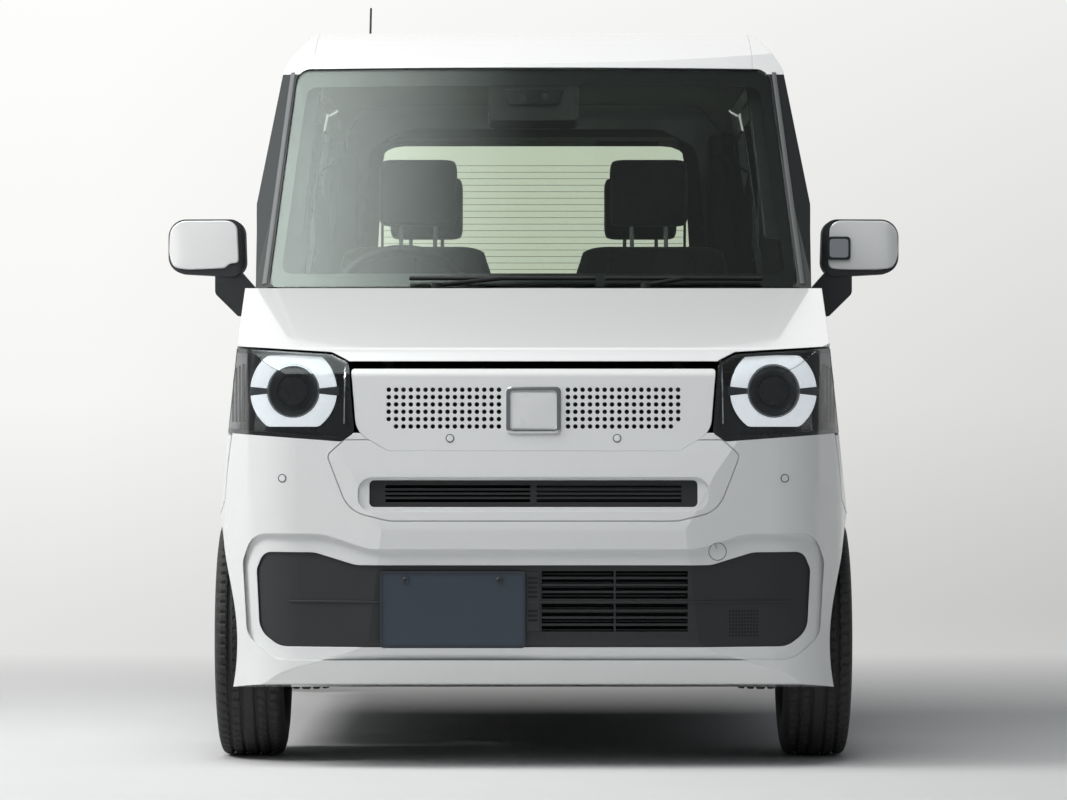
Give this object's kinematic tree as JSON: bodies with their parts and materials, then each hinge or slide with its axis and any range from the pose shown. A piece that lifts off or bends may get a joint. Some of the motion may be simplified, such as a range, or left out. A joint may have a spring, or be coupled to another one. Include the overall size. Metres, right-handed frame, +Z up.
{
  "type": "kei car",
  "caption": "Tall box-shaped kei car with hinged front doors, bonnet, tailgate and fuel lid, steered front wheels and free-turning wheels.",
  "frame": {"origin": "middle of the footprint, on the ground under the tyres", "axes": "nose faces -Y, +X is the car's left side, +Z up"},
  "size_m": [1.7818, 3.3949, 1.9655],
  "materials": {
    "body_paint": "pearl white gloss",
    "underbody": "satin grey",
    "black_trim": "satin black",
    "lamp_housing": "smoked gloss",
    "clear_glass": "clear",
    "tinted_glass": "green tint",
    "red_lens": "gloss red",
    "interior_plastic": "grained",
    "seat_fabric": "woven",
    "engine_metal": "cast",
    "steel": "dull",
    "chassis_black": "satin black",
    "wheel_steel": "silver paint",
    "tyre": "rubber"
  },
  "bodies": {
    "body": {"floor_pan": "underbody", "body_side_left": "body_paint", "body_side_right": "body_paint", "roof": "body_paint", "bulkhead": "underbody", "cowl_top": "black_trim", "front_frame": "underbody", "front_fenders": "body_paint", "front_bumper": "body_paint", "bumper_grilles": "black_trim", "grille_panel": "body_paint", "headlamps": "lamp_housing", "headlamp_lenses": "clear_glass", "windscreen": "tinted_glass", "side_glass": "tinted_glass", "sliding_doors": "body_paint", "rear_bumper": "body_paint", "tail_lamps": "red_lens", "wipers": "black_trim", "dashboard": "interior_plastic", "steering_wheel": "interior_plastic", "front_seats": "seat_fabric", "rear_seats": "seat_fabric", "engine_block": "engine_metal", "fuel_tank": "black_trim", "exhaust": "steel", "front_suspension": "chassis_black", "rear_axle": "chassis_black", "antenna": "black_trim"},
    "front_door_left": {"front_door_left": "body_paint", "front_door_glass_left": "tinted_glass", "door_mirror_left": "body_paint"},
    "front_door_right": {"front_door_right": "body_paint", "front_door_glass_right": "tinted_glass", "door_mirror_right": "body_paint"},
    "bonnet": {"bonnet": "body_paint"},
    "tailgate": {"tailgate": "body_paint", "tailgate_glass": "tinted_glass", "rear_wiper": "black_trim"},
    "fuel_lid": {"fuel_lid": "body_paint"},
    "knuckle_left": {"knuckle_left": "chassis_black"},
    "knuckle_right": {"knuckle_right": "chassis_black"},
    "wheel_front_left": {"wheel_front_left": "wheel_steel", "tyre_front_left": "tyre"},
    "wheel_front_right": {"wheel_front_right": "wheel_steel", "tyre_front_right": "tyre"},
    "wheel_rear_left": {"wheel_rear_left": "wheel_steel", "tyre_rear_left": "tyre"},
    "wheel_rear_right": {"wheel_rear_right": "wheel_steel", "tyre_rear_right": "tyre"}
  },
  "joints": [
    {"name": "front_door_left", "type": "hinge", "parent": "body", "child": "front_door_left", "pos_m": [0.7355, -0.854, 0.62], "axis": [0.0609, 0, -0.9981], "range_deg": [0, 70]},
    {"name": "front_door_right", "type": "hinge", "parent": "body", "child": "front_door_right", "pos_m": [-0.7355, -0.854, 0.62], "axis": [0.0609, 0, 0.9981], "range_deg": [0, 70]},
    {"name": "bonnet", "type": "hinge", "parent": "body", "child": "bonnet", "pos_m": [0, -1.1163, 1.0918], "axis": [-1, 0, 0], "range_deg": [0, 55]},
    {"name": "tailgate", "type": "hinge", "parent": "body", "child": "tailgate", "pos_m": [0, 1.592, 1.7], "axis": [1, 0, 0], "range_deg": [0, 85]},
    {"name": "fuel_lid", "type": "hinge", "parent": "body", "child": "fuel_lid", "pos_m": [0.7225, 1.2445, 0.897], "axis": [0, 0, -1], "range_deg": [0, 100]},
    {"name": "steer_left", "type": "hinge", "parent": "body", "child": "knuckle_left", "pos_m": [0.59, -1.2175, 0.19], "axis": [-0.1332, 0, 0.9911], "range_deg": [-35, 35]},
    {"name": "steer_right", "type": "hinge", "parent": "body", "child": "knuckle_right", "pos_m": [-0.59, -1.2175, 0.19], "axis": [0.1332, 0, 0.9911], "range_deg": [-35, 35]},
    {"name": "roll_front_left", "type": "hinge", "parent": "knuckle_left", "child": "wheel_front_left", "pos_m": [0.6525, -1.2175, 0.2785], "axis": [1, 0, 0], "continuous": true},
    {"name": "roll_front_right", "type": "hinge", "parent": "knuckle_right", "child": "wheel_front_right", "pos_m": [-0.6525, -1.2175, 0.2785], "axis": [1, 0, 0], "continuous": true},
    {"name": "roll_rear_left", "type": "hinge", "parent": "body", "child": "wheel_rear_left", "pos_m": [0.6525, 1.3025, 0.2785], "axis": [1, 0, 0], "continuous": true},
    {"name": "roll_rear_right", "type": "hinge", "parent": "body", "child": "wheel_rear_right", "pos_m": [-0.6525, 1.3025, 0.2785], "axis": [1, 0, 0], "continuous": true}
  ],
  "couplings": [
    {"joint": "steer_right", "follows": "steer_left", "ratio": 1}
  ]
}
